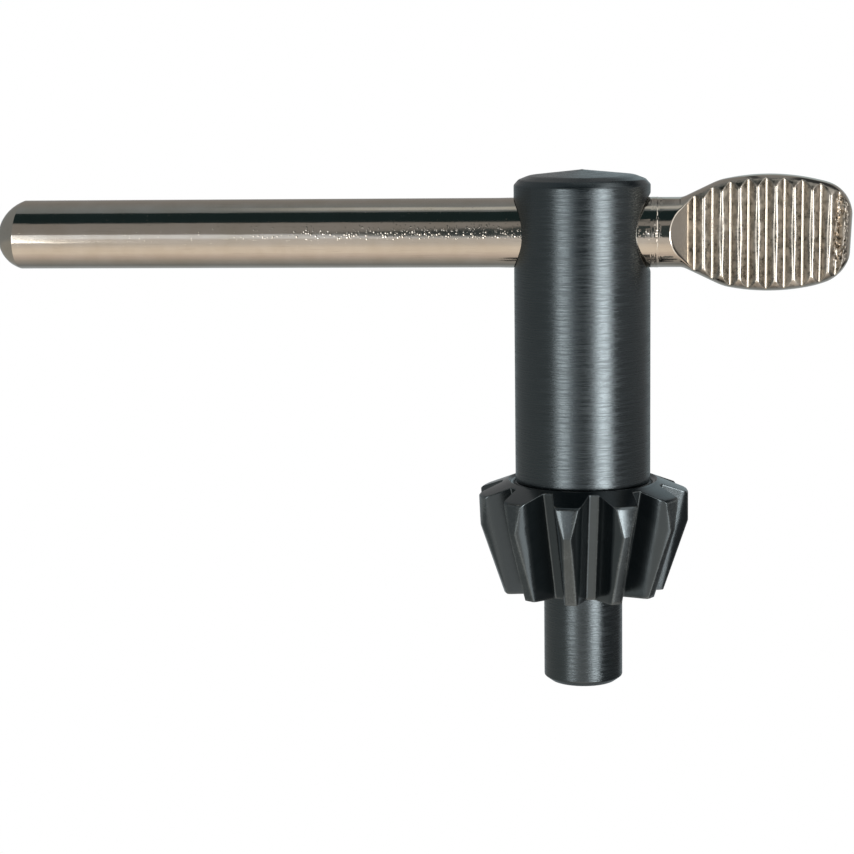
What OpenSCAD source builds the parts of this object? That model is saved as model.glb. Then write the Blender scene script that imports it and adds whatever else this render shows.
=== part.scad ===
// Drill chuck key: a turned steel body with a bevel pinion, and a cross bar pressed through it.
// Millimetres. The origin is on the shank's axis, in the plane of the pinion's end face, where
// the pilot starts. +Z runs up the shank, and +X runs along the bar to its thumb grip.

/* [Shank] */
// Diameter of the shank
shank_d = 10; // [9:0.25:12]
// Height of the bar's axis above the pinion's end face
bar_axis_z = 26.67; // [22:0.05:40]
// Shank above the bar's axis, up to its top bevel
head_h = 3.58; // [3.1:0.02:6]
// Width of the top bevel, in from the shank's side
bevel_w = 0.86; // [0.3:0.02:1.2]
// Height of the top bevel
bevel_h = 0.55; // [0.2:0.02:1]
// Rise of the shallow cone that closes the top
top_rise = 0.48; // [0.2:0.02:1]
// Chamfer at the mouths of the cross bore
bore_chamfer = 0.2; // [0.1:0.05:0.6]

/* [Pinion] */
// Number of teeth
teeth = 11; // [10:1:12]
// Angle of the first tooth about the shank's axis, from +X
first_tooth = -95.5; // [-180:0.1:180]
// Diameter over the tooth tips
tip_d = 15.6; // [15.2:0.1:16]
// Height of the pinion at the shank
pinion_h = 8.57; // [8:0.01:9.5]
// Fall of the back cone below the horizontal
back_angle = 21; // [15:0.5:26]
// Chamfer at the rim of the back cone
rim_chamfer = 0.15; // [0.05:0.05:0.4]
// Height at which the cylindrical tips start to taper
taper_z = 5.28; // [4:0.01:6]
// Diameter over the tooth tips at the end face
tip_end_d = 11.96; // [11.5:0.02:13]

/* [Tooth gaps] */
// Radius of the gap's floor where it leaves the back cone
root_top_r = 6; // [5.6:0.05:6.2]
// Radius of the gap's floor at the end face
root_end_r = 4.05; // [3.6:0.05:4.3]
// Radius of the line that the flanks follow, at the end face
flank_end_r = 4.1; // [3.6:0.05:4.4]
// Width of the gap where the flanks meet that line
root_w = 0.72; // [0.5:0.02:0.9]
// Lean of the flanks
flank_lean = 28; // [20:0.5:32]
// Height above that line at which the flanks turn out to the tips
relief_h = 1.78; // [1.5:0.02:2]
// Lean of the flanks near the tips
relief_lean = 58; // [40:1:60]

/* [Pilot] */
// Diameter of the pilot
pilot_d = 5.85; // [5.5:0.05:6]
// Length of the pilot with its chamfer
pilot_len = 6.93; // [5:0.01:9]
// Width of the bevel at the pilot's end
pilot_bevel_w = 0.52; // [0.2:0.01:0.8]
// Height of the bevel at the pilot's end
pilot_bevel_h = 0.38; // [0.2:0.01:0.8]

/* [Cross bar] */
// Diameter of the bar
bar_d = 5.1; // [4.5:0.05:5.5]
// Diameter of the seat that is pressed into the shank
seat_d = 5.14; // [5.12:0.01:5.2]
// Reach of the seat beyond the shank's axis, on the grip's side
seat_reach = 5.5; // [5.2:0.1:6]
// Reach of the bar's plain end from the shank's axis
plain_reach = 43.7; // [30:0.1:60]
// Length of the rounded nose on the plain end
nose_len = 1.9; // [1:0.1:2.5]
// Radius of the small flat on the nose
nose_flat_r = 0.5; // [0.2:0.1:1]

/* [Thumb grip] */
// Reach of the grip from the shank's axis
grip_reach = 19.55; // [19.4:0.05:20.5]
// Height of the grip above the bar's axis
grip_up = 4.2; // [3.8:0.01:4.5]
// Depth of the grip below the bar's axis
grip_down = 4.28; // [3.8:0.01:4.5]
// Distance of the grip's widest place from the shank's axis
grip_wide_x = 13.5; // [13:0.1:14]
// Radius of the long side curves
side_r = 15; // [14:0.1:16]
// Radius of the upper far corner
upper_corner_r = 2.7; // [2:0.1:3]
// Radius of the lower far corner
lower_corner_r = 2.4; // [2:0.1:3]
// Thickness of the grip away from its ribs
grip_t = 3; // [2.8:0.05:3.2]
// Thickness left at the bottom of the grooves
groove_t = 1.78; // [1.4:0.02:2]
// Distance of the first groove from the shank's axis
first_groove_x = 8.19; // [8:0.01:8.6]
// Distance between grooves
groove_pitch = 1.29; // [1.1:0.01:1.3]
// Number of grooves on each face
grooves = 9; // [7:1:9]

/* [Hidden] */

$fn = 96;
shank_r = shank_d / 2;
tip_r = tip_d / 2;
pilot_r = pilot_d / 2;
bar_r = bar_d / 2;
seat_r = seat_d / 2;
tooth_pitch = 360 / teeth;

// Back cone: it falls from the shank to the rim, and the chamfer takes the rim's corner.
rim_r = tip_r - rim_chamfer;
rim_z = pinion_h - (rim_r - shank_r) * tan(back_angle);

// The gap's floor and the line that the flanks follow both start at the back cone.
gap_top_z = pinion_h - (root_top_r - shank_r) * tan(back_angle);
floor_lean = atan((root_top_r - root_end_r) / gap_top_z);
flank_line_lean = atan((root_top_r - flank_end_r) / gap_top_z);

// The cutter runs this far past the end face and past the back cone.
end_overrun = 0.35;
top_overrun = 3;
// The cutter's section reaches this far above and below the line that the flanks follow.
gap_depth = 3;
under_cut = 0.4;
// Size of the block that keeps the cutter above the gap's floor
floor_block = 8;

// The seat starts this far outside the shank's side.
seat_margin = 0.2;

// Blank of the grip: its rim is a half round of the grip's own thickness, made in layers.
rim_round_r = grip_t / 2;
rim_inset = 0.97 * rim_round_r;
rim_layers = 5;
blank_start_x = 9.2;
// Neck of the grip, from the round bar to a full flat section
neck_start_x = 7;
neck_end_x = 10;
neck_facets = 32;
neck_inset = 0.02;
// Thickness of the slices that the hulls span
layer_t = 0.01;
// Cutters reach this far out of the material.
over = 0.5;

// Turned outline of the whole body, from the pilot's end to the top.
module body_outline() {
    top_z = bar_axis_z + head_h;
    polygon([
        [0, -pilot_len],
        [pilot_r - pilot_bevel_w, -pilot_len],
        [pilot_r, pilot_bevel_h - pilot_len],
        [pilot_r, 0],
        [tip_end_d / 2, 0],
        [tip_r, taper_z],
        [tip_r, rim_z - rim_chamfer],
        [rim_r, rim_z],
        [shank_r, pinion_h],
        [shank_r, top_z],
        [shank_r - bevel_w, top_z + bevel_h],
        [0, top_z + bevel_h + top_rise],
    ]);
}

// Section of a gap: X is the height above the line that the flanks follow.
module gap_section() {
    under_w = root_w / 2 - under_cut * tan(flank_lean);
    relief_w = root_w / 2 + relief_h * tan(flank_lean);
    mouth_w = relief_w + (gap_depth - relief_h) * tan(relief_lean);
    polygon([
        [-under_cut, -under_w],
        [-under_cut, under_w],
        [relief_h, relief_w],
        [gap_depth, mouth_w],
        [gap_depth, -mouth_w],
        [relief_h, -relief_w],
    ]);
}

// One gap, on the +X side: the flanks' section runs down the pinion, above the gap's floor.
module tooth_gap() {
    run = gap_top_z + end_overrun + top_overrun;
    difference() {
        translate([root_top_r, 0, gap_top_z])
            rotate([0, flank_line_lean, 0])
                translate([0, 0, top_overrun - run])
                    linear_extrude(height = run)
                        gap_section();
        translate([root_top_r, 0, gap_top_z])
            rotate([0, floor_lean, 0])
                translate([-floor_block, -floor_block / 2, -2 * run])
                    cube([floor_block, floor_block, 4 * run]);
    }
}

// Cross bore with a chamfer at each mouth.
module cross_bore() {
    mouth_r = seat_r + bore_chamfer + over;
    translate([0, 0, bar_axis_z]) {
        rotate([0, 90, 0])
            cylinder(h = 2 * shank_d, r = seat_r, center = true);
        for (turn = [-90, 90])
            rotate([0, turn, 0])
                translate([0, 0, shank_r - bore_chamfer])
                    cylinder(h = bore_chamfer + over, r1 = seat_r, r2 = mouth_r);
    }
}

module key_body() {
    color("#2b2d33")
        difference() {
            rotate_extrude()
                body_outline();
            for (i = [0 : teeth - 1])
                rotate([0, 0, first_tooth + (i + 0.5) * tooth_pitch])
                    tooth_gap();
            cross_bore();
        }
}

// Round part of the bar: a plain cylinder with a rounded nose on its free end, and a seat that
// is a little thicker where the bar is held in the shank.
module round_bar() {
    seat_from = plain_reach - shank_r - seat_margin;
    seat_to = plain_reach + seat_reach;
    end = plain_reach + first_groove_x;
    steps = 8;
    nose = [
        for (i = [0 : steps])
            let (a = 90 * i / steps)
            [nose_flat_r + (bar_r - nose_flat_r) * sin(a), nose_len * (1 - cos(a))]
    ];
    translate([-plain_reach, 0, 0])
        rotate([0, 90, 0])
            rotate_extrude()
                polygon(concat(
                    [[0, 0]],
                    nose,
                    [[bar_r, seat_from], [seat_r, seat_from], [seat_r, seat_to], [bar_r, seat_to]],
                    [[bar_r, end], [0, end]]
                ));
}

function arc(centre, r, from, to, steps = 10) = [
    for (i = [0 : steps])
        let (a = from + (to - from) * i / steps)
        centre + r * [cos(a), sin(a)]
];

// Half of the grip's outline, for one side: a long curve, then a corner curve tangent to it.
function grip_side(reach_up, corner_r) =
    let (
        centre = [grip_wide_x, reach_up - side_r],
        corner_x = grip_reach - corner_r,
        turn = asin((corner_x - grip_wide_x) / (side_r - corner_r)),
        corner = centre + (side_r - corner_r) * [sin(turn), cos(turn)],
        start = asin((grip_wide_x - blank_start_x) / side_r)
    )
    concat(
        arc(centre, side_r, 90 + start, 90 - turn),
        arc(corner, corner_r, 90 - turn, 0)
    );

// Half width of the grip at a distance x from the shank's axis.
function grip_half(reach_up, x) =
    reach_up - side_r + sqrt(pow(side_r, 2) - pow(grip_wide_x - x, 2));

module grip_outline() {
    lower = [for (p = grip_side(grip_down, lower_corner_r)) [p.x, -p.y]];
    polygon(concat(
        grip_side(grip_up, upper_corner_r),
        [for (i = [len(lower) - 1 : -1 : 0]) lower[i]]
    ));
}

// Grip before its ribs are pressed: layers of the outline that shrink towards each face.
module grip_blank() {
    hull()
        for (i = [-rim_layers : rim_layers])
            let (a = 90 * i / rim_layers)
            translate([0, rim_round_r * sin(a), 0])
                rotate([90, 0, 0])
                    linear_extrude(height = layer_t, center = true)
                        offset(delta = -rim_inset * (1 - cos(a)))
                            grip_outline();
}

// Neck: the round bar runs into the flat grip.
module grip_neck() {
    hull() {
        translate([neck_start_x, 0, 0])
            rotate([0, 90, 0])
                cylinder(h = layer_t, r = bar_r - neck_inset, $fn = neck_facets);
        for (z = [grip_half(grip_up, neck_end_x), -grip_half(grip_down, neck_end_x)])
            translate([neck_end_x, 0, z - sign(z) * rim_round_r])
                rotate([0, 90, 0])
                    cylinder(h = layer_t, r = rim_round_r, $fn = neck_facets);
    }
}

// What the ribbed die takes from one face: a ramp, then a row of 90 degree grooves.
module die_side() {
    floor_y = groove_t / 2;
    last_x = first_groove_x + (grooves - 1) * groove_pitch;
    clear_y = bar_r + over;
    rise = clear_y - floor_y;
    linear_extrude(height = 3 * grip_down, center = true)
        polygon(concat(
            [[first_groove_x - rise, clear_y]],
            [
                for (i = [0 : 2 * (grooves - 1)])
                    [first_groove_x + i * groove_pitch / 2, floor_y + (i % 2) * groove_pitch / 2]
            ],
            [[last_x + rise, clear_y]]
        ));
}

module handle_bar() {
    color("#b9aa95")
        translate([0, 0, bar_axis_z])
            difference() {
                union() {
                    round_bar();
                    grip_neck();
                    grip_blank();
                }
                die_side();
                mirror([0, 1, 0])
                    die_side();
            }
}

key_body();
handle_bar();
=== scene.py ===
import math

import bmesh
import bpy
import numpy as np
from mathutils import Matrix, Vector


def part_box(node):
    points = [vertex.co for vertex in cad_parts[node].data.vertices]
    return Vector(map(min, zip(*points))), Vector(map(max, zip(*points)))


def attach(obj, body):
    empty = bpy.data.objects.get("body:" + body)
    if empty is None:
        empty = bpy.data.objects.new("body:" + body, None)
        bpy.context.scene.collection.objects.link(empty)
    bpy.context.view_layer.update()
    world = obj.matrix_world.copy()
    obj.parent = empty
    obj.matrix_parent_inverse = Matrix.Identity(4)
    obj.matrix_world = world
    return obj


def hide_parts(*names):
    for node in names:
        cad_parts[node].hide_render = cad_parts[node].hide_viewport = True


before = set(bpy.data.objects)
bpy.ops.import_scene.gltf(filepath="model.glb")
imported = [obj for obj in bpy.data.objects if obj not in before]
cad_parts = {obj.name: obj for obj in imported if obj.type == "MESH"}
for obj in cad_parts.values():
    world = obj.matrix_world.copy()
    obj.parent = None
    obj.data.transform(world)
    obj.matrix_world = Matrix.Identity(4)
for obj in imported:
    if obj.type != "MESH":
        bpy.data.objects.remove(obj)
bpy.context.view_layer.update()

# The model is worked out in millimetres, in the CAD model's own frame: the origin is on the
# shank's axis in the plane of the pinion's end face, +Z runs up the shank, and +X runs along
# the bar to its thumb grip.
MM = 0.001
BODY_LOW, BODY_HIGH = (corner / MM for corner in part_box("key_body"))
BAR_LOW, BAR_HIGH = (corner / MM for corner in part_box("handle_bar"))

# Shank and pilot
SHANK_R = 5.0
PILOT_R = 2.925
PILOT_END_Z = BODY_LOW.z
APEX_Z = BODY_HIGH.z
BAR_Z = 26.67

# Pinion
TEETH = 11
TOOTH_PITCH = 2 * math.pi / TEETH
FIRST_TOOTH = math.radians(-95.5)
TIP_R = 7.8
TIP_END_R = 5.98
TAPER_Z = 5.28
PINION_H = 8.57
BACK_SLOPE = math.tan(math.radians(21))
RIM_CHAMFER = 0.15
ROOT_TOP_R = 6.0
ROOT_END_R = 4.05
FLANK_END_R = 4.1
GAP_TOP_Z = PINION_H - (ROOT_TOP_R - SHANK_R) * BACK_SLOPE
ROOT_HALF_W = 0.36
FLANK_LEAN = math.radians(27)
RELIEF_H = 1.72
RELIEF_LEAN = math.radians(57)
RELIEF_BLEND = 0.3
LAND_WEAR = 0.55
EDGE_RADIUS = 0.045
EDGE_ANGLE = math.radians(17)

# Bar and grip
BAR_R = 2.55
PLAIN_X = BAR_LOW.x
SEAT_HALF_L = 5.5
GRIP_X = BAR_HIGH.x
GRIP_UP = BAR_HIGH.z - BAR_Z
GRIP_DOWN = BAR_Z - BAR_LOW.z
GRIP_WIDE_X = 13.5
GRIP_SIDE_R = 15.0
UPPER_CORNER_R = 2.7
LOWER_CORNER_R = 2.4
GROOVE_Y = 0.86
FIRST_GROOVE_X = 8.19
GROOVE_PITCH = 1.29
GROOVES = 9
VALLEY_R = 0.065
CREST_R = 0.14
GRIP_END_GAP = 0.57
NECK_X = 7.35
NECK_FLARE = 0.477
SIDE_BLEND = 0.12
DISH_Y = 1.35
DISH_RISE = 0.17
DISH_HALF_H = 2.9
RIM_W = 0.85
RIM_H = 1.35
RIM_SLOPE = 0.65
PRESS_BLEND = 0.16
EDGE_BLEND = 0.05
DIE_FROM_X = 6.0
FLAT_FROM_X = 6.6
FLAT_OVER = 3.4

# Marks on the bar: what pressing it in left beside the bore, and pits at the grip's end
PRESS_MARK_X = 5.35
PRESS_MARKS = 56
PRESS_MARK_H = 0.008
BURR_X = 5.48
BURR_H = 0.008
SEAT_H = 0.015
PIT_X = (18.15, 19.4)
PIT_DEPTH = 0.34
PIT_RISE = 0.03


# ---------------------------------------------------------------- mesh tools

class Net:
    """Points in millimetres and the faces between them."""

    def __init__(self):
        self.points = []
        self.faces = []
        self.count = 0

    def add(self, points):
        """Adds an array of points and returns their numbers, in the same shape."""
        points = np.asarray(points, float)
        flat = points.reshape(-1, 3)
        numbers = np.arange(self.count, self.count + len(flat)).reshape(points.shape[:-1])
        self.points.append(flat)
        self.count += len(flat)
        return numbers

    def where(self, numbers):
        """The points that have these numbers."""
        return np.concatenate(self.points)[np.asarray(numbers)]

    def ring_rows(self, rows, keep=None):
        """Quads between rows of closed rings; keep says which quads are made."""
        for j in range(len(rows) - 1):
            low, high = rows[j], rows[j + 1]
            for i in range(len(low)):
                if keep is not None and not keep(j, i):
                    continue
                k = (i + 1) % len(low)
                self.faces.append((low[i], low[k], high[k], high[i]))

    def cap(self, ring, centre):
        """Closes a ring with a fan round one point."""
        middle = int(self.add([centre])[0])
        for i in range(len(ring)):
            self.faces.append((ring[i], ring[(i + 1) % len(ring)], middle))

    def make(self, name):
        """The mesh as an object, in metres."""
        mesh = bpy.data.meshes.new(name)
        points = np.concatenate(self.points) * MM
        faces = [tuple(int(v) for v in face) for face in self.faces]
        mesh.from_pydata(points.tolist(), [], faces)
        grid = bmesh.new()
        grid.from_mesh(mesh)
        unused = [vert for vert in grid.verts if not vert.link_faces]
        bmesh.ops.delete(grid, geom=unused, context="VERTS")
        bmesh.ops.recalc_face_normals(grid, faces=grid.faces)
        grid.to_mesh(mesh)
        grid.free()
        mesh.shade_smooth()
        piece = bpy.data.objects.new(name, mesh)
        bpy.context.scene.collection.objects.link(piece)
        return piece


def rounded(corners, steps=5):
    """A 2D outline through corners (a, b, radius), with each corner rounded by an arc."""
    points = [np.array(corners[0][:2], float)]
    for before, here, after in zip(corners, corners[1:], corners[2:]):
        corner = np.array(here[:2], float)
        inward = np.array(before[:2], float) - corner
        outward = np.array(after[:2], float) - corner
        inward /= np.linalg.norm(inward)
        outward /= np.linalg.norm(outward)
        if here[2] == 0:
            points.append(corner)
            continue
        half = math.acos(np.clip(inward @ outward, -1, 1)) / 2
        middle = (inward + outward) / np.linalg.norm(inward + outward)
        centre = corner + middle * here[2] / math.sin(half)
        start = corner + inward * here[2] / math.tan(half) - centre
        end = corner + outward * here[2] / math.tan(half) - centre
        turn = math.acos(np.clip(start @ end / here[2] ** 2, -1, 1))
        for step in range(steps + 1):
            share = step / steps
            a = math.sin((1 - share) * turn) / math.sin(turn)
            b = math.sin(share * turn) / math.sin(turn)
            points.append(centre + a * start + b * end)
    points.append(np.array(corners[-1][:2], float))
    return np.array(points)


def spin(profile, azimuths):
    """Rings of a turned outline of (radius, z) points, one point per azimuth."""
    radius, height = profile[:, 0, None], profile[:, 1, None]
    return np.stack([
        radius * np.cos(azimuths),
        radius * np.sin(azimuths),
        height + 0 * azimuths,
    ], axis=-1)


def ease(value):
    """0 to 1 with a soft start and end."""
    value = np.clip(value, 0, 1)
    return value * value * (3 - 2 * value)


def soft_min(a, b, blend):
    """The smaller of two surfaces, with their meeting rounded over about blend."""
    gap = np.clip(0.5 + (b - a) / (2 * blend), 0, 1)
    return b * (1 - gap) + a * gap - blend * gap * (1 - gap)


# ---------------------------------------------------------------- key body

def flank_half_width(height):
    """Half width of a tooth gap at a height above the line that its flanks follow."""
    width = ROOT_HALF_W + height * math.tan(FLANK_LEAN)
    more = math.tan(RELIEF_LEAN) - math.tan(FLANK_LEAN)
    over = (height - RELIEF_H) / RELIEF_BLEND
    bend = np.where(over < -1, 0, np.where(over > 1, over, (over + 1) ** 2 / 4))
    return width + more * RELIEF_BLEND * bend


def tip_radius(z):
    return np.minimum(TIP_R, TIP_END_R + (TIP_R - TIP_END_R) * z / TAPER_Z)


def back_z(radius):
    """Height of the back cone, with the chamfer at its rim."""
    cone = PINION_H - (radius - SHANK_R) * BACK_SLOPE
    rim_r = TIP_R - RIM_CHAMFER
    chamfer = PINION_H - (rim_r - SHANK_R) * BACK_SLOPE - (radius - rim_r)
    return np.minimum(cone, chamfer)


LINE_LEAN = math.atan((ROOT_TOP_R - FLANK_END_R) / GAP_TOP_Z)
ROOT_STEPS = (0.0, 0.62)
FLANK_STEPS = tuple(np.linspace(0, 1, 13))
LAND_STEPS = (0.5, 1.0)
HALF_TOOTH = ([("root", u) for u in ROOT_STEPS] + [("flank", u) for u in FLANK_STEPS]
              + [("land", u) for u in LAND_STEPS])


def half_tooth_point(kind, share, z):
    """Azimuth from the gap's centre, and radius, of one column of half a tooth at height z."""
    line_x = FLANK_END_R + (ROOT_TOP_R - FLANK_END_R) * z / GAP_TOP_Z
    root_x = ROOT_END_R + (ROOT_TOP_R - ROOT_END_R) * z / GAP_TOP_Z
    rise = math.cos(LINE_LEAN)
    root_h = (root_x - line_x) * rise
    if kind == "root":
        x, y = root_x, share * flank_half_width(root_h)
        return math.atan2(y, x), math.hypot(x, y)
    tip = tip_radius(z)
    low, high = root_h, root_h + 5.0
    for _ in range(30):
        middle = (low + high) / 2
        inside = math.hypot(line_x + middle / rise, flank_half_width(middle)) < tip
        low, high = (middle, high) if inside else (low, middle)
    if kind == "flank":
        height = root_h + share * (low - root_h)
        x, y = line_x + height / rise, float(flank_half_width(height))
        return math.atan2(y, x), math.hypot(x, y)
    edge = math.atan2(float(flank_half_width(low)), line_x + low / rise)
    return edge + share * (TOOTH_PITCH / 2 - edge), tip


def column_heights(kind, share, levels):
    """Heights of a column's points: shares of the way up to the back cone, where it ends."""
    top = TAPER_Z
    for _ in range(12):
        top = float(back_z(half_tooth_point(kind, share, top)[1]))
    return [level * top for level in levels]


def pinion_columns(levels):
    """Cylinder coordinates of all columns of the toothed side, as [level][column]."""
    half = []
    for kind, share in HALF_TOOTH:
        heights = column_heights(kind, share, levels)
        half.append([(*half_tooth_point(kind, share, z), z) for z in heights])
    half = np.array(half)
    mirrored = half[-2:0:-1].copy()
    mirrored[..., 0] = TOOTH_PITCH - mirrored[..., 0]
    tooth = np.concatenate([half, mirrored])
    columns = []
    for number in range(TEETH):
        turned = tooth.copy()
        turned[..., 0] += FIRST_TOOTH + (number - 0.5) * TOOTH_PITCH
        columns.append(turned)
    return np.concatenate(columns).transpose(1, 0, 2)


def from_cylinder(rows):
    azimuth, radius, z = rows[..., 0], rows[..., 1], rows[..., 2]
    return np.stack([radius * np.cos(azimuth), radius * np.sin(azimuth), z], axis=-1)


# Profiles, as (radius, z, rounding): the shallow cone at the top of the shank and its bevel, the
# neck where the back cone meets the shank's foot, and the pilot
NECK_R = 5.5
LIP_Z = PINION_H - 0.25
SHANK_FOOT_Z = LIP_Z + 0.1
CENTRE_DRILL_DEPTH = 0.3
HEAD_EDGE_Z = APEX_Z - 1.1
HEAD_PROFILE = rounded([
    (SHANK_R, HEAD_EDGE_Z - 0.5, 0), (SHANK_R, HEAD_EDGE_Z, 0.22), (4.66, APEX_Z - 0.72, 0.35),
    (3.9, APEX_Z - 0.42, 1.5), (0.14, APEX_Z - 0.02, 0.1), (0.05, APEX_Z, 0),
], steps=6)
NECK_PROFILE = rounded([
    (NECK_R, PINION_H - (NECK_R - SHANK_R) * BACK_SLOPE, 0), (5.35, LIP_Z - 0.12, 0.04),
    (SHANK_R - 0.04, LIP_Z - 0.15, 0.03), (SHANK_R - 0.03, LIP_Z - 0.06, 0.02),
    (SHANK_R, LIP_Z, 0.02), (SHANK_R, SHANK_FOOT_Z, 0),
], steps=3)
PILOT_PROFILE = rounded([
    (PILOT_R + 0.03, 0.0, 0), (PILOT_R, -0.05, 0.03), (PILOT_R, PILOT_END_Z + 0.38, 0.18),
    (PILOT_R - 0.52, PILOT_END_Z, 0.14), (0.9, PILOT_END_Z, 0), (0.5, PILOT_END_Z + 0.02, 0),
], steps=4)

# Mouths of the cross bore: the side of the shank along X, then the rounded lip's outer radius
# and its depth
MOUTHS = {"grip": (1, 2.93, 0.34), "plain": (-1, 2.68, 0.14)}
BORE_R = BAR_R + 0.05
MOUTH_LOW_Z = BAR_Z - 3.4
MOUTH_HIGH_Z = HEAD_EDGE_Z - 0.36
MOUTH_HALF_ANGLE = math.radians(46)


def bore_mouth(net, border, side, lip_r, lip_depth):
    """Joins a rectangular border on the shank's side to the bore, and returns its inner ring."""
    border_points = net.where(border)
    arc = np.arctan2(border_points[:, 1], side * border_points[:, 0])
    rise = border_points[:, 2] - BAR_Z
    polar = np.arctan2(rise, arc * SHANK_R)
    ring_arc = np.arcsin(lip_r * np.cos(polar) / SHANK_R)
    ring_rise = lip_r * np.sin(polar)
    rows = [border]
    for share in np.linspace(0, 1, 9)[1:]:
        a = arc + (ring_arc - arc) * share
        r = rise + (ring_rise - rise) * share
        rows.append(net.add(np.stack([
            side * SHANK_R * np.cos(a), SHANK_R * np.sin(a), BAR_Z + r,
        ], axis=-1)))
    edge_x = SHANK_R * np.cos(ring_arc)
    for angle in np.radians([18, 36, 54, 72, 90]):
        radius = lip_r - (lip_r - BORE_R) * math.sin(angle)
        x = edge_x - lip_depth * (1 - math.cos(angle))
        rows.append(net.add(np.stack([
            side * x, radius * np.cos(polar), BAR_Z + radius * np.sin(polar),
        ], axis=-1)))
    net.ring_rows(rows)
    return rows[-1]


def mouth_columns(azimuths, side):
    """Numbers of the columns that a mouth's opening spans, from one edge to the other."""
    centre = 0.0 if side > 0 else math.pi
    step = 2 * math.pi / len(azimuths)
    width = round(2 * MOUTH_HALF_ANGLE / step)
    start = round((centre - MOUTH_HALF_ANGLE - azimuths[0]) / step)
    return [(start + i) % len(azimuths) for i in range(width + 1)]


def add_back(net, top_row, top, azimuths):
    """Adds the back cone, from the teeth in to the shank's foot, and returns the last row."""
    rows = [top_row]
    rim = top[:, 1] - RIM_CHAMFER
    for share in (0.0, 0.12, 0.3, 0.5, 0.7, 0.88, 1.0):
        radius = rim + (NECK_R - rim) * share
        azimuth = top[:, 0] + (azimuths - top[:, 0]) * share
        points = np.stack([azimuth, radius, back_z(radius)], axis=-1)
        rows.append(net.add(from_cylinder(points)))
    rows += [net.add(row) for row in spin(NECK_PROFILE[1:], azimuths)]
    net.ring_rows(rows)
    return rows[-1]


def add_shank(net, foot, azimuths):
    """Adds the shank and its top, with the bore across it."""
    below = np.linspace(SHANK_FOOT_Z, MOUTH_LOW_Z, 32)[1:-1]
    beside = np.linspace(MOUTH_LOW_Z, MOUTH_HIGH_Z, 37)
    heights = np.concatenate([below, beside])
    outline = np.stack([np.full(len(heights), SHANK_R), heights], axis=-1)
    shank = [foot] + [net.add(row) for row in spin(outline, azimuths)]

    # A rectangle stays open round each mouth of the bore
    first_open, last_open = len(below) + 1, len(shank) - 1
    mouths = {name: mouth_columns(azimuths, mouth[0]) for name, mouth in MOUTHS.items()}
    cut = {column for columns in mouths.values() for column in columns[:-1]}
    net.ring_rows(shank, keep=lambda j, i: j not in range(first_open, last_open) or i not in cut)
    head_profile = HEAD_PROFILE[HEAD_PROFILE[:, 1] > MOUTH_HIGH_Z + 0.03]
    head = [shank[-1]] + [net.add(row) for row in spin(head_profile, azimuths)]
    net.ring_rows(head)
    net.cap(head[-1], (0, 0, APEX_Z))

    inner = {}
    for name, columns in mouths.items():
        loop = [shank[first_open][c] for c in columns]
        loop += [shank[j][columns[-1]] for j in range(first_open + 1, last_open + 1)]
        loop += [shank[last_open][c] for c in columns[-2::-1]]
        loop += [shank[j][columns[0]] for j in range(last_open - 1, first_open, -1)]
        inner[name] = bore_mouth(net, loop, *MOUTHS[name])

    # The bore: the far ring runs the other way round, so it's turned to match the near one
    near = inner["grip"]
    far = np.roll(inner["plain"][::-1], len(mouths["plain"]))
    near_points, far_points = net.where(near), net.where(far)
    rows = [near]
    for share in (0.2, 0.5, 0.8):
        rows.append(net.add(near_points + (far_points - near_points) * share))
    net.ring_rows(rows + [far])


def add_pilot(net, bottom_row, bottom, azimuths):
    """Adds the pinion's end face, from the teeth in, and the pilot."""
    rows = [bottom_row]
    for share in (0.08, 0.5, 0.92):
        radius = bottom[:, 1] + (PILOT_PROFILE[0, 0] - bottom[:, 1]) * share
        azimuth = bottom[:, 0] + (azimuths - bottom[:, 0]) * share
        points = np.stack([azimuth, radius, np.zeros(len(azimuths))], axis=-1)
        rows.append(net.add(from_cylinder(points)))
    rows += [net.add(row) for row in spin(PILOT_PROFILE, azimuths)]
    net.ring_rows(rows)
    net.cap(rows[-1], (0, 0, PILOT_END_Z + CENTRE_DRILL_DEPTH))


def make_key_body():
    net = Net()

    # Shares of the way up the teeth, with rows close together near both ends
    levels = [0, 0.04, 0.12, 0.24, 0.36, 0.5]
    levels += [TAPER_Z / float(back_z(TIP_R)), 0.8, 0.92, 0.985, 1]
    side = pinion_columns(levels)
    side_rows = [net.add(row) for row in from_cylinder(side)]
    net.ring_rows(side_rows)

    count = side.shape[1]
    azimuths = FIRST_TOOTH - TOOTH_PITCH / 2 + np.arange(count) * 2 * math.pi / count
    foot = add_back(net, side_rows[-1], side[-1], azimuths)
    add_shank(net, foot, azimuths)
    add_pilot(net, side_rows[0], side[0], azimuths)
    return net.make("key_body_turned")


def mark_wear(piece):
    """Stores how worn each point is: sharp edges fully, the teeth's lands in part."""
    dull, keen = 0.3, 0.9
    grid = bmesh.new()
    grid.from_mesh(piece.data)
    layer = grid.verts.layers.float.new("wear")
    for vert in grid.verts:
        x, y, z = vert.co / MM
        sharp = max(edge.calc_face_angle(0) for edge in vert.link_edges)
        wear = min(1, max(0, (sharp - dull) / (keen - dull)))
        if 0.05 < z < PINION_H and math.hypot(x, y) > tip_radius(z) - 0.02:
            wear = max(wear, LAND_WEAR)
        vert[layer] = wear
    grid.to_mesh(piece.data)
    grid.free()


# ---------------------------------------------------------------- handle bar

def grip_side_points(reach, corner_r):
    """One side of the grip's outline: a long curve, then a corner curve tangent to it."""
    centre = np.array([GRIP_WIDE_X, reach - GRIP_SIDE_R])
    corner_x = GRIP_X - corner_r
    turn = math.asin((corner_x - GRIP_WIDE_X) / (GRIP_SIDE_R - corner_r))
    away = np.array([math.sin(turn), math.cos(turn)])
    corner = centre + (GRIP_SIDE_R - corner_r) * away
    return centre, corner, turn


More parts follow.
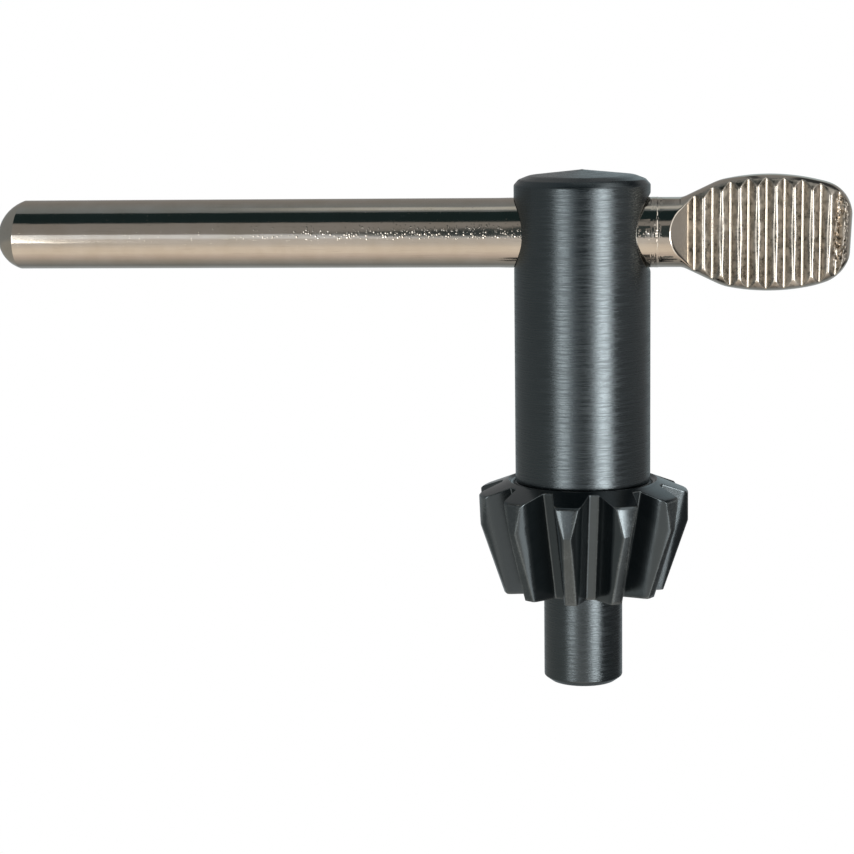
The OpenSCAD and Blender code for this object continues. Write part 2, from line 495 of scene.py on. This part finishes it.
def grip_half_width(x, reach, corner_r):
    """Half width of the bar and grip at x, from the round bar to the far end."""
    centre, corner, turn = grip_side_points(reach, corner_r)
    from_wide = np.clip(x - centre[0], -GRIP_SIDE_R, GRIP_SIDE_R)
    long_side = centre[1] + np.sqrt(GRIP_SIDE_R ** 2 - from_wide ** 2)
    over = np.clip(x - corner[0], 0, corner_r)
    round_corner = corner[1] + np.sqrt(np.maximum(corner_r ** 2 - over ** 2, 0))
    joined = corner[0] + corner_r * math.sin(turn)
    far = np.where(x < joined, long_side, round_corner)
    neck = BAR_R + NECK_FLARE * (x - NECK_X)
    near = -soft_min(-soft_min(far, neck, SIDE_BLEND), -np.full_like(x, BAR_R), SIDE_BLEND)
    return np.where(x < GRIP_WIDE_X - 2.5, near, far)


NOSE_L = 1.75
NOSE_CORNER = math.radians(18)
NOSE_FLAT_R = 0.55
NOSE_LEAN = 0.08
END_LEAN = 0.05


def nose_radius(along):
    """Radius of the rounded nose at a distance from its tip: an arc that meets the side."""
    drop = BAR_R - NOSE_FLAT_R
    arc_r = (NOSE_L ** 2 + drop ** 2) / (
        2 * (drop * math.cos(NOSE_CORNER) - NOSE_L * math.sin(NOSE_CORNER)))
    centre_x = NOSE_L + arc_r * math.sin(NOSE_CORNER)
    centre_r = BAR_R - arc_r * math.cos(NOSE_CORNER)
    return centre_r + np.sqrt(arc_r ** 2 - (centre_x - along) ** 2)


def bar_stations():
    """Places along the bar where it has a ring of points."""
    shares = [0, 0.02, 0.06, 0.12, 0.2, 0.3, 0.42, 0.56, 0.7, 0.84, 0.94, 0.985, 1]
    nose = PLAIN_X + NOSE_L * np.array(shares)
    plain = np.concatenate([[PLAIN_X + NOSE_L + 0.03],
                            np.linspace(PLAIN_X + NOSE_L + 0.1, SHANK_R, 60)])
    ring = np.concatenate([np.arange(5.04, 5.76, 0.03), [5.9, 6.1, 6.3]])
    last = FIRST_GROOVE_X + (GROOVES - 1) * GROOVE_PITCH
    ribs = np.arange(6.4, last + 0.75, 0.0515)
    end = np.linspace(last + 0.8, GRIP_X - 0.62, 6)
    cap = GRIP_X - GRIP_END_GAP * (1 - np.sin(np.linspace(0, math.pi / 2, 16)))
    return np.concatenate([nose, plain, ring, ribs, end, cap])


def die_height(x):
    """Half thickness that the ribbed die leaves at x: a ramp, then 90 degree grooves."""
    last = FIRST_GROOVE_X + (GROOVES - 1) * GROOVE_PITCH
    off_valley = np.abs((x - FIRST_GROOVE_X + GROOVE_PITCH / 2) % GROOVE_PITCH - GROOVE_PITCH / 2)
    half = GROOVE_PITCH / 2
    valley = np.sqrt(off_valley ** 2 + VALLEY_R ** 2)
    crest = np.sqrt((half - off_valley) ** 2 + CREST_R ** 2)
    joined = math.hypot(half / 2, VALLEY_R) + math.hypot(half / 2, CREST_R)
    ribs = np.where(off_valley < half / 2, valley, joined - crest)
    outside = np.maximum(FIRST_GROOVE_X - x, x - last)
    rise = np.where(outside > 0, np.sqrt(np.maximum(outside, 0) ** 2 + VALLEY_R ** 2), ribs)
    return GROOVE_Y + rise


def rim_gap(x, z, up, down):
    """Distance in from the grip's outline, with its corners rounded over."""
    side_gap = np.maximum(np.where(z > 0, up - z, z + down), 1e-9)
    end_gap = np.maximum(GRIP_X - x, 1e-9)
    return (side_gap ** -4 + end_gap ** -4) ** -0.25


def grip_height(gap, z):
    """Half thickness of the squashed blank, before the die: a round rim, a slope and a dish."""
    steep = RIM_SLOPE * RIM_W / RIM_H
    slope_from = RIM_W * (1 - steep / math.hypot(1, steep))
    inset = 1 - np.minimum(gap, slope_from) / RIM_W
    rim = RIM_H * np.sqrt(1 - inset ** 2) + RIM_SLOPE * np.maximum(gap - slope_from, 0)
    dish = DISH_Y + DISH_RISE * ease(np.abs(z) / DISH_HALF_H)
    return soft_min(rim, dish, 0.03)


def press_marks(stations, columns):
    """How far small ridges stand out of the bar beside the shank, where it was pressed in."""
    ridges = np.random.default_rng(11).uniform(-1, 1, (len(stations), PRESS_MARKS))
    ridges = np.repeat(ridges, columns // PRESS_MARKS, axis=1)
    return PRESS_MARK_H * ridges * (np.abs(stations - PRESS_MARK_X) < 0.4)[:, None]


def pits(x, z, gap):
    """How far the grip's surface is off its smooth shape in the rough patch at its far end."""
    rough = ease((x - PIT_X[0]) / 0.2) * ease((PIT_X[1] - x) / 0.15)
    upper = 0.75 * ease((1.7 - z) / 0.4) + 0.3 * ease((2.8 - z) / 0.4)
    rough = rough * ease((z + 2.8) / 1.6) * upper
    rows, columns = x.shape
    scatter = np.random.default_rng(7).normal(0, 0.2, (rows // 3 + 1, columns // 2))
    scatter = np.repeat(np.repeat(scatter, 3, axis=0)[:rows], 2, axis=1)
    scatter = (scatter + np.roll(scatter, 1, axis=0) + np.roll(scatter, 1, axis=1)) / 2
    return rough * np.clip(1.8 * scatter, -PIT_DEPTH, PIT_RISE) * ease((gap - 0.25) / 0.35)


def lean_ends(x, y, z):
    """Places along the bar, moved so that neither end is square to it."""
    # The nose's face looks a little up and back, and the grip's end leans out at its top
    lean = NOSE_LEAN * ease((PLAIN_X + 5 - x) / 4)
    x = x + lean * z + 1.6 * lean * y
    return x + END_LEAN * (z - 2.0) * ease((x - 16.5) / 2.5)


def make_handle_bar(columns=224):
    stations = bar_stations()
    turn = np.linspace(0, 2 * math.pi, columns, endpoint=False)
    across, front = np.sin(turn), np.cos(turn)
    x = stations[:, None] + 0 * turn
    up = grip_half_width(stations, GRIP_UP, UPPER_CORNER_R)[:, None]
    down = grip_half_width(stations, GRIP_DOWN, LOWER_CORNER_R)[:, None]

    # The round bar, with its nose and the seat that fills the bore
    radius = np.full(len(stations), BAR_R)
    in_nose = stations < PLAIN_X + NOSE_L
    radius[in_nose] = nose_radius(stations[in_nose] - PLAIN_X)
    burr = BURR_H * np.exp(-((stations - BURR_X) / 0.06) ** 2)
    seat = SEAT_H * ease((SEAT_HALF_L + 0.12 - np.abs(stations)) / 0.16)
    radius += burr + seat
    round_r = radius[:, None] + press_marks(stations, columns)
    half = np.where(across > 0, up, down)
    half = np.where(x < FLAT_FROM_X, round_r, half)
    z = half * across
    round_y = np.abs(front) * np.minimum(half, BAR_R + 0.05)

    # The grip: the round bar flows into the squashed blank, and the die presses its ribs
    flat = ease((stations - FLAT_FROM_X) / FLAT_OVER)[:, None]
    gap = rim_gap(x, z, up, down)
    natural = round_y * (1 - flat) + grip_height(gap, z) * flat
    blend = EDGE_BLEND + (PRESS_BLEND - EDGE_BLEND) * ease((gap - 0.8) / 0.6)
    blend = np.where(x < FIRST_GROOVE_X, PRESS_BLEND, blend)
    pressed = np.where(x > DIE_FROM_X, soft_min(natural, die_height(x), blend), natural)
    pressed = np.where(np.abs(front) < 1e-9, 0, np.maximum(pressed, 0))
    pressed = pressed + pits(x, z, gap) * (np.abs(front) > 0.1)
    y = -np.sign(front) * pressed

    net = Net()
    rows = [net.add(row) for row in np.stack([lean_ends(x, y, z), y, BAR_Z + z], axis=-1)]

    # The grip ends in an edge, so both faces use the same points there
    mirror = (columns // 2 - np.arange(columns)) % columns
    rows[-1] = np.where(front < -1e-9, rows[-1][mirror], rows[-1])
    net.ring_rows(rows)
    net.cap(rows[0], (PLAIN_X - 0.005, 0, BAR_Z))
    return net.make("handle_bar_pressed")


# ---------------------------------------------------------------- materials

class Nodes:
    """Short calls for building a node tree."""

    def __init__(self, tree):
        self.tree = tree

    def add(self, kind, **settings):
        node = self.tree.nodes.new(kind)
        for key, value in settings.items():
            setattr(node, key, value)
        return node

    def wire(self, source, node, socket):
        self.tree.links.new(source, node.inputs[socket])

    def math(self, operation, a, b=None, c=None):
        node = self.add("ShaderNodeMath", operation=operation)
        for index, value in enumerate((a, b, c)):
            if value is None:
                continue
            if isinstance(value, (int, float)):
                node.inputs[index].default_value = value
            else:
                self.tree.links.new(value, node.inputs[index])
        return node.outputs[0]

    def noise(self, vector, scale, detail=3, rough=0.5, distortion=0):
        node = self.add("ShaderNodeTexNoise")
        node.inputs["Scale"].default_value = scale
        node.inputs["Detail"].default_value = detail
        node.inputs["Roughness"].default_value = rough
        node.inputs["Distortion"].default_value = distortion
        self.wire(vector, node, "Vector")
        return node.outputs["Fac"]

    def ramp(self, value, stops, interpolation="LINEAR"):
        """A colour ramp; a stop is (place, grey) or (place, (r, g, b))."""
        node = self.add("ShaderNodeValToRGB")
        ramp = node.color_ramp
        ramp.interpolation = interpolation
        while len(ramp.elements) < len(stops):
            ramp.elements.new(0.5)
        for element, (place, colour) in zip(ramp.elements, stops):
            element.position = place
            if isinstance(colour, (int, float)):
                colour = (colour,) * 3
            element.color = (*colour, 1)
        self.wire(value, node, "Fac")
        return node.outputs["Color"]

    def combine(self, x, y, z):
        node = self.add("ShaderNodeCombineXYZ")
        for socket, value in zip("XYZ", (x, y, z)):
            if isinstance(value, (int, float)):
                node.inputs[socket].default_value = value
            else:
                self.wire(value, node, socket)
        return node.outputs[0]

    def range(self, value, low, high, to_low=0.0, to_high=1.0, smooth=True):
        kind = "SMOOTHSTEP" if smooth else "LINEAR"
        node = self.add("ShaderNodeMapRange", interpolation_type=kind)
        node.inputs["From Min"].default_value = low
        node.inputs["From Max"].default_value = high
        node.inputs["To Min"].default_value = to_low
        node.inputs["To Max"].default_value = to_high
        self.wire(value, node, "Value")
        return node.outputs["Result"]

    def product(self, first, *others):
        for other in others:
            first = self.math("MULTIPLY", first, other)
        return first

    def sum(self, base, *terms):
        """Adds terms to base; a term is (value, weight)."""
        for value, weight in terms:
            base = self.math("MULTIPLY_ADD", value, weight, base)
        return base

    def window(self, value, rise, fall):
        """1 between two soft edges and 0 outside; each edge is (where it's 0, where it's 1)."""
        return self.product(self.range(value, *rise), self.range(value, *fall))

    def mix(self, factor, a, b):
        node = self.add("ShaderNodeMix", data_type="RGBA")
        for socket, value in ((0, factor), (6, a), (7, b)):
            if isinstance(value, (int, float)):
                node.inputs[socket].default_value = value
            elif isinstance(value, tuple):
                node.inputs[socket].default_value = (*value, 1)
            else:
                self.tree.links.new(value, node.inputs[socket])
        return node.outputs[2]


def new_material(name):
    material = bpy.data.materials.new(name)
    material.use_nodes = True
    tree = material.node_tree
    tree.nodes.clear()
    nodes = Nodes(tree)
    shader = nodes.add("ShaderNodeBsdfPrincipled")
    output = nodes.add("ShaderNodeOutputMaterial")
    nodes.wire(shader.outputs[0], output, "Surface")
    return material, nodes, shader


def in_millimetres(nodes):
    """Object coordinates as separate x, y and z in millimetres."""
    where = nodes.add("ShaderNodeTexCoord").outputs["Object"]
    scaled = nodes.add("ShaderNodeVectorMath", operation="SCALE")
    scaled.inputs["Scale"].default_value = 1 / MM
    nodes.wire(where, scaled, 0)
    split = nodes.add("ShaderNodeSeparateXYZ")
    nodes.wire(scaled.outputs[0], split, 0)
    return scaled.outputs[0], split.outputs[0], split.outputs[1], split.outputs[2]


def add_bump(nodes, shader, height, strength, depth):
    bump = nodes.add("ShaderNodeBump")
    bump.inputs["Strength"].default_value = strength
    bump.inputs["Distance"].default_value = depth * MM
    nodes.wire(height, bump, "Height")
    nodes.wire(bump.outputs[0], shader, "Normal")


OXIDE_DARK = (0.002, 0.0035, 0.0045)
OXIDE_PALE = (0.005, 0.007, 0.008)
WORN_STEEL = (0.065, 0.068, 0.066)


def black_oxide():
    """Blackened turned steel: tool marks run round it, and its edges are worn."""
    material, nodes, shader = new_material("black_oxide_steel")
    where, x, y, z = in_millimetres(nodes)
    azimuth = nodes.math("ARCTAN2", y, x)
    radius = nodes.math("SQRT", nodes.math("ADD", nodes.product(x, x), nodes.product(y, y)))
    grain = nodes.noise(where, 9.0, detail=4, rough=0.65)
    blotch = nodes.noise(where, 0.55, detail=4, rough=0.6)

    # Tool marks are noise that is drawn out round the axis. They are faint on the pinion
    ring = nodes.math("ADD", z, nodes.product(radius, 0.7))
    turned = nodes.combine(nodes.product(azimuth, 0.22), 0.0, ring)
    short = nodes.combine(nodes.product(azimuth, 0.5), 0.0, ring)
    fine = nodes.noise(turned, 7.0, detail=4, rough=0.75)
    coarse = nodes.noise(short, 2.2, detail=3, rough=0.6)
    toothed = nodes.product(nodes.range(radius, PILOT_R + 0.1, PILOT_R + 0.5),
                            nodes.range(z, PINION_H - 0.1, PINION_H - 0.4))
    marks = nodes.math("MULTIPLY_ADD", toothed, -0.85, 1.0)

    # The worn edges are ragged, and more worn in some patches than in others
    wear = nodes.add("ShaderNodeAttribute", attribute_name="wear").outputs["Fac"]
    ragged = nodes.math("MULTIPLY_ADD", nodes.math("SUBTRACT", grain, 0.5), 1.2, wear)
    worn = nodes.product(nodes.range(ragged, 0.4, 0.95), nodes.range(blotch, 0.35, 0.6, 0.3, 1.0))

    oxide = nodes.ramp(blotch, [(0.3, OXIDE_DARK), (0.7, OXIDE_PALE)])
    nodes.wire(nodes.mix(worn, oxide, WORN_STEEL), shader, "Base Color")
    scratched = nodes.product(nodes.range(fine, 0.35, 0.65), marks)
    rough = nodes.sum(0.12, (scratched, 0.16), (coarse, 0.12), (worn, 0.08))
    nodes.wire(rough, shader, "Roughness")
    shader.inputs["IOR"].default_value = 2.0
    shader.inputs["Specular Tint"].default_value = (0.87, 0.97, 1.0, 1)
    height = nodes.sum(nodes.product(coarse, 0.5), (fine, 1.7), (grain, 0.3))
    add_bump(nodes, shader, nodes.product(height, marks), 0.32, 0.03)
    return material


NICKEL_DARK = (0.65, 0.565, 0.465)
NICKEL_PALE = (0.72, 0.64, 0.55)
NICKEL_LINES = (0.5, 0.44, 0.37)
SMUT = (0.24, 0.215, 0.18)

# Soft edges in x: where the drawn lines and the specks stop short of the grip, and where its
# stains and the dull flanks of its ribs start. The flanks lie between two such edges in y
LINES_END_X = (7.6, 6.6)
SPECKS_END_X = (6.0, 5.6)
STAINS_START_X = (7.6, 8.4)
FLANKS_START_X = (7.8, 8.3)
FLANKS_Y = ((0.96, 1.04), (1.43, 1.31))


def speck_heights(nodes, where, x, z):
    """Small raised specks of all sizes, most of them in a band along the bar."""
    specks = nodes.add("ShaderNodeTexVoronoi", feature="F1")
    specks.inputs["Scale"].default_value = 5.6
    specks.inputs["Randomness"].default_value = 1.0
    nodes.wire(where, specks, "Vector")
    size = nodes.add("ShaderNodeSeparateColor")
    nodes.wire(specks.outputs["Color"], size, 0)
    band = nodes.window(z, (BAR_Z - 0.45, BAR_Z - 0.2), (BAR_Z + 1.1, BAR_Z + 0.5))
    band = nodes.math("MULTIPLY_ADD", band, nodes.range(x, -32, -14, 0.06, 0.42), -0.36)
    reach = nodes.math("MULTIPLY_ADD", size.outputs[0], 0.55, band)
    dots = nodes.math("SUBTRACT", reach, specks.outputs["Distance"])
    return nodes.product(nodes.math("MAXIMUM", dots, 0.0), nodes.range(x, *SPECKS_END_X))


def nickel():
    """Bright nickel plate on a drawn bar: fine lines run along it, with small specks."""
    material, nodes, shader = new_material("nickel_plate")
    where, x, y, z = in_millimetres(nodes)
    along = nodes.combine(nodes.product(x, 0.05), y, z)
    lines = nodes.noise(along, 7.0, detail=3, rough=0.6)
    grain = nodes.noise(where, 9.0, detail=3, rough=0.6)
    cloud = nodes.noise(where, 0.45, detail=3, rough=0.55)
    mottle = nodes.noise(where, 2.0, detail=4, rough=0.62)
    flank = nodes.product(nodes.window(nodes.math("ABSOLUTE", y), *FLANKS_Y),
                          nodes.range(x, *FLANKS_START_X))

    plate = nodes.ramp(cloud, [(0.3, NICKEL_DARK), (0.7, NICKEL_PALE)])
    plate = nodes.mix(nodes.range(lines, 0.55, 0.8, 0.0, 0.45), plate, NICKEL_LINES)
    smut = nodes.product(flank, nodes.range(mottle, 0.62, 0.4, 0.15, 0.75))
    nodes.wire(nodes.mix(smut, plate, SMUT), shader, "Base Color")
    shader.inputs["Metallic"].default_value = 1.0

    satin = nodes.product(flank, nodes.range(mottle, 0.3, 0.7, 0.45, 1.0))
    stained = nodes.product(nodes.range(cloud, 0.52, 0.66), nodes.range(x, *STAINS_START_X))
    rough = nodes.sum(0.05, (grain, 0.06), (lines, 0.04), (satin, 0.3), (stained, 0.16))
    nodes.wire(rough, shader, "Roughness")

    drawn = nodes.product(lines, nodes.range(x, *LINES_END_X))
    height = nodes.sum(nodes.product(grain, 0.06), (drawn, 0.25),
                       (speck_heights(nodes, where, x, z), 3.6),
                       (nodes.product(mottle, flank), 1.6))
    add_bump(nodes, shader, height, 0.5, 0.02)
    return material


# ---------------------------------------------------------------- stage

# The camera of the photo
CAMERA_PLACE = Vector((9.466, -175.790, 40.09)) * MM
CAMERA_FORWARD = Vector((-0.1175, 0.9808, -0.1560))
CAMERA_RIGHT = Vector((0.9931, 0.1169, -0.0129))
CAMERA_LENS = 101.05
CAMERA_SHIFT = (-0.0006, 0.0006)


def make_camera():
    data = bpy.data.cameras.new("camera")
    data.sensor_width = 36
    data.lens = CAMERA_LENS
    data.shift_x, data.shift_y = CAMERA_SHIFT
    data.clip_start, data.clip_end = 0.01, 10
    camera = bpy.data.objects.new("camera", data)
    forward = CAMERA_FORWARD.normalized()
    right = (CAMERA_RIGHT - forward * CAMERA_RIGHT.dot(forward)).normalized()
    up = right.cross(forward)
    turn = Matrix((right, up, -forward)).transposed()
    camera.matrix_world = Matrix.LocRotScale(CAMERA_PLACE, turn.to_quaternion(), None)
    bpy.context.scene.collection.objects.link(camera)
    bpy.context.scene.camera = camera


# Light from round the X axis, as (pitch from the front in degrees, colour)
DARK = (0.0125, 0.024, 0.027)
STRIPS = (
    (-180, (0.42, 0.46, 0.48)), (-145, (0.34, 0.38, 0.4)), (-125, (0.2, 0.22, 0.23)),
    (-97, (0.38, 0.37, 0.35)), (-78, (0.61, 0.55, 0.51)), (-62, (0.82, 0.76, 0.68)),
    (-45, (0.8, 0.75, 0.68)), (-30, (0.62, 0.61, 0.59)), (-14, (0.58, 0.58, 0.58)),
    (-10, (0.79, 0.85, 0.92)), (1, (0.79, 0.85, 0.92)), (3, (0.27, 0.27, 0.27)),
    (39, (0.25, 0.25, 0.25)), (42, DARK), (78, DARK), (81, (0.19, 0.22, 0.24)),
    (100, (0.22, 0.25, 0.27)), (135, (0.25, 0.25, 0.25)), (160, (0.27, 0.27, 0.27)),
    (180, (0.4, 0.4, 0.4)),
)

# Light from round the Z axis, near level, as (azimuth from the front in degrees, grey)
AROUND = (
    (-180, 0.3), (-125, 0.4), (-95, 0.3), (-62, 0.12), (-44, 0.2), (-20, 0.8), (-13, 0.7),
    (-9, 0.25), (-5, 0.03), (16, 0.03), (24, 0.2), (56, 0.2), (66, 0.12), (84, 0.3),
    (125, 0.5), (180, 0.3),
)
COOL = (0.88, 1.0, 1.03)


def at(degrees):
    """Place of an angle on a ramp that runs from -180 to 180 degrees."""
    return 0.5 + degrees / 360


def studio_light(nodes, x, y, z):
    """Colour of the light that comes from a direction."""
    to_front = nodes.math("MULTIPLY", y, -1)
    turns = 1 / (2 * math.pi)
    pitch = nodes.math("MULTIPLY_ADD", nodes.math("ARCTAN2", z, to_front), turns, 0.5)
    azimuth = nodes.math("MULTIPLY_ADD", nodes.math("ARCTAN2", x, to_front), turns, 0.5)
    elevation = nodes.math("MULTIPLY", nodes.math("ARCSINE", z), 180 / math.pi)
    degrees = nodes.math("MULTIPLY_ADD", pitch, 360, -180)

    # Strips that run along X, with others that stand upright where the light is near level
    strips = nodes.ramp(pitch, [(at(place), colour) for place, colour in STRIPS])
    greys = [(at(place), tuple(tint * grey for tint in COOL)) for place, grey in AROUND]
    around = nodes.ramp(azimuth, greys)
    level = nodes.window(elevation, (-15, -10), (9, 4))
    beside = nodes.math("MAXIMUM", nodes.range(x, -0.31, -0.36), nodes.range(x, -0.09, -0.05))
    light = nodes.mix(nodes.product(level, beside), strips, around)

    # A dark gap between the cards that widens to the right, and a thin bright edge above
    along = nodes.range(x, -0.165, -0.08, smooth=False)
    below_top = nodes.math("SUBTRACT", nodes.math("MULTIPLY_ADD", along, 22, 3), degrees)
    above_low = nodes.math("SUBTRACT", degrees, nodes.math("MULTIPLY_ADD", along, -7, -2))
    gap = nodes.product(nodes.range(below_top, -1.0, 1.5), nodes.range(above_low, -8, 4),
                        nodes.window(x, (-0.175, -0.14), (0.3, 0.2)))
    light = nodes.mix(gap, light, (0.035, 0.05, 0.055))
    line = nodes.product(nodes.window(degrees, (85, 88), (102, 97)),
                         nodes.range(x, -0.21, -0.13))
    light = nodes.mix(line, light, (0.52, 0.55, 0.55))

    # Plain walls at both sides, and a tall bright card in front of the right one
    high = nodes.range(elevation, -16, -4)
    left = nodes.mix(high, (0.3, 0.31, 0.3), (0.22, 0.24, 0.25))
    right = nodes.mix(high, (0.07, 0.07, 0.07), (0.33, 0.33, 0.33))
    light = nodes.mix(nodes.range(x, -0.42, -0.6), light, left)
    light = nodes.mix(nodes.range(x, 0.5, 0.66), light, right)
    tall = nodes.product(nodes.window(x, (0.3, 0.42), (0.72, 0.62)),
                         nodes.window(degrees, (-70, -50), (105, 85)))
    light = nodes.mix(tall, light, (1.25, 1.28, 1.3))

    # A dark stretch high up behind the key, and a pale one below it
    aside = nodes.math("MAXIMUM", nodes.range(x, -0.015, -0.03), nodes.range(x, 0.12, 0.15))
    behind = nodes.product(nodes.window(degrees, (104, 112), (146, 138)),
                           nodes.range(x, -0.08, -0.05), aside)
    light = nodes.mix(behind, light, (0.04, 0.045, 0.05))
    crown = nodes.product(nodes.range(degrees, 142, 150),
                          nodes.window(x, (-0.08, -0.05), (0.3, 0.2)))
    return nodes.mix(crown, light, (0.42, 0.5, 0.53))


def make_world():
    """Surroundings that the key reflects, and a white background for the camera."""
    world = bpy.data.worlds.new("studio")
    bpy.context.scene.world = world
    world.use_nodes = True
    tree = world.node_tree
    tree.nodes.clear()
    nodes = Nodes(tree)
    split = nodes.add("ShaderNodeSeparateXYZ")
    nodes.wire(nodes.add("ShaderNodeTexCoord").outputs["Generated"], split, 0)
    reflected = nodes.add("ShaderNodeBackground")
    nodes.wire(studio_light(nodes, *split.outputs), reflected, "Color")
    seen = nodes.add("ShaderNodeBackground")
    seen.inputs["Color"].default_value = (1, 1, 1, 1)
    path = nodes.add("ShaderNodeLightPath")
    either = nodes.add("ShaderNodeMixShader")
    nodes.wire(path.outputs["Is Camera Ray"], either, 0)
    nodes.wire(reflected.outputs[0], either, 1)
    nodes.wire(seen.outputs[0], either, 2)
    output = nodes.add("ShaderNodeOutputWorld")
    nodes.wire(either.outputs[0], output, "Surface")


def make_light(name, azimuth, elevation, distance, width, height, radiance):
    """A soft card of light that faces the key, outside the camera's view."""
    data = bpy.data.lights.new(name, "AREA")
    data.shape = "RECTANGLE"
    data.size, data.size_y = width * MM, height * MM
    data.energy = radiance * math.pi * data.size * data.size_y
    data.color = (0.95, 0.98, 1.0)
    light = bpy.data.objects.new(name, data)
    a, e = math.radians(azimuth), math.radians(elevation)
    away = Vector((math.sin(a) * math.cos(e), -math.cos(a) * math.cos(e), math.sin(e)))
    light.location = Vector((0, 0, 12 * MM)) + away * distance * MM
    light.rotation_euler = away.to_track_quat("Z", "Y").to_euler()
    light.visible_camera = False
    bpy.context.scene.collection.objects.link(light)


def make_floor():
    net = Net()
    reach, z = 1500, PILOT_END_Z - 0.05
    square = [(-reach, -reach, z), (reach, -reach, z), (reach, reach, z), (-reach, reach, z)]
    numbers = net.add(square)
    net.faces.append(tuple(numbers))
    floor = net.make("floor")
    material = bpy.data.materials.new("pale_floor")
    material.use_nodes = True
    tree = material.node_tree
    tree.nodes.clear()
    nodes = Nodes(tree)
    glow = nodes.add("ShaderNodeEmission")
    glow.inputs["Color"].default_value = (1, 1, 1, 1)
    output = nodes.add("ShaderNodeOutputMaterial")
    nodes.wire(glow.outputs[0], output, "Surface")
    floor.data.materials.append(material)
    floor.visible_glossy = False
    floor.visible_diffuse = False
    floor.visible_shadow = False


bpy.context.scene.view_settings.view_transform = "Standard"
make_camera()
make_world()
make_light("left_card", -31, -9, 420, 118, 180, 4.0)
make_light("right_card", 39, -9, 420, 150, 180, 6.8)
make_floor()

body = make_key_body()
mark_wear(body)
edges = body.modifiers.new("small_radii", "BEVEL")
edges.width = EDGE_RADIUS * MM
edges.segments = 2
edges.limit_method = "ANGLE"
edges.angle_limit = EDGE_ANGLE
edges.use_clamp_overlap = False
flats = body.modifiers.new("flat_faces", "WEIGHTED_NORMAL")
flats.weight = 80
body.data.materials.append(black_oxide())
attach(body, "root")
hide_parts("key_body")

bar = make_handle_bar()
bar.data.materials.append(nickel())
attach(bar, "root")
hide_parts("handle_bar")
